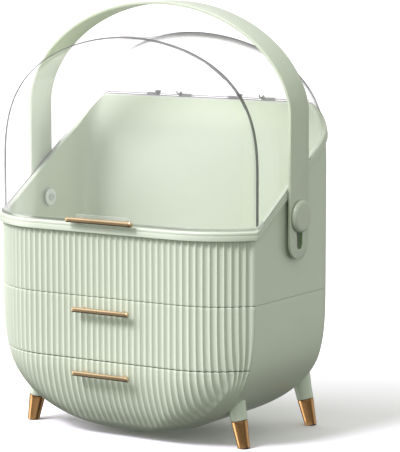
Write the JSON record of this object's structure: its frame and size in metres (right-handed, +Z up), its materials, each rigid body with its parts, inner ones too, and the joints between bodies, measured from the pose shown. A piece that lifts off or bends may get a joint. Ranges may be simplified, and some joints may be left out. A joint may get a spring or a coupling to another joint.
{
  "type": "makeup storage case",
  "caption": "Egg-bottomed cosmetics case on splayed feet with bow-fronted drawers, an open tray, a clear hinged hood and a swinging, lifting bail handle.",
  "frame": {"origin": "on the floor, below the middle of the whole object's box (hood pull at the front, hinge knuckles at the back)", "axes": "+Z up, -Y out of the drawers' fronts, +X to the right of someone facing the drawers"},
  "size_m": [0.303, 0.1936, 0.4029],
  "materials": {
    "body_moulding": "satin moulded plastic, pale sage",
    "inner_moulding": "matt moulded plastic, pale sage",
    "clear_moulding": "clear polished plastic",
    "strap": "satin moulded plastic, pale sage",
    "gold": "polished warm gold",
    "foot_tip": "satin copper-toned metal",
    "foot_pad": "matt rubber",
    "hinge": "satin moulded plastic, pale sage",
    "pin_steel": "bright steel",
    "screw_steel": "bright steel",
    "washer": "matt nylon"
  },
  "bodies": {
    "case": {"lower_casing": "body_moulding", "upper_tray": "body_moulding", "drawer_shelf": "inner_moulding", "lower_drawer_runners": "inner_moulding", "tray_screws": "screw_steel", "foot_socket_front_left": "body_moulding", "foot_socket_front_right": "body_moulding", "foot_socket_rear_left": "body_moulding", "foot_socket_rear_right": "body_moulding", "foot_tip_front_left": "foot_tip", "foot_tip_front_right": "foot_tip", "foot_tip_rear_left": "foot_tip", "foot_tip_rear_right": "foot_tip", "foot_pads": "foot_pad", "foot_screws": "screw_steel", "case_hinge_bracket_left": "hinge", "case_hinge_bracket_right": "hinge", "hinge_pins": "pin_steel", "hinge_screws": "screw_steel"},
    "lid": {"lid_hood": "clear_moulding", "lid_pull": "gold", "lid_pull_screws": "screw_steel", "lid_hinge_leaf_left": "hinge", "lid_hinge_leaf_right": "hinge"},
    "pivots": {"pivot_button_left": "strap", "pivot_button_right": "strap", "pivot_washers": "washer", "pivot_screws": "screw_steel"},
    "handle": {"handle_strap": "strap"},
    "drawer_upper": {"upper_drawer_front": "body_moulding", "upper_drawer_box": "inner_moulding", "upper_drawer_pull": "gold", "upper_drawer_pull_screws": "screw_steel"},
    "drawer_lower": {"lower_drawer_front": "body_moulding", "lower_drawer_box": "inner_moulding", "lower_drawer_pull": "gold", "lower_drawer_pull_screws": "screw_steel"}
  },
  "joints": [
    {"name": "lid_hinge", "type": "hinge", "parent": "case", "child": "lid", "pos_m": [0, 0.09333, 0.3086], "axis": [-1, 0, 0], "range_deg": [0, 100]},
    {"name": "handle_swing", "type": "hinge", "parent": "case", "child": "pivots", "pos_m": [0, 0.01523, 0.2097], "axis": [-1, 0, 0], "range_deg": [0, 130]},
    {"name": "handle_lift", "type": "slide", "parent": "pivots", "child": "handle", "axis": [0, 0, 1], "range_m": [0, 0.0224]},
    {"name": "drawer_upper_slide", "type": "slide", "parent": "case", "child": "drawer_upper", "axis": [0, -1, 0], "range_m": [0, 0.11]},
    {"name": "drawer_lower_slide", "type": "slide", "parent": "case", "child": "drawer_lower", "axis": [0, -1, 0], "range_m": [0, 0.11]}
  ],
  "couplings": [
    {"joint": "handle_swing", "follows": "lid_hinge", "ratio": 1.3}
  ]
}
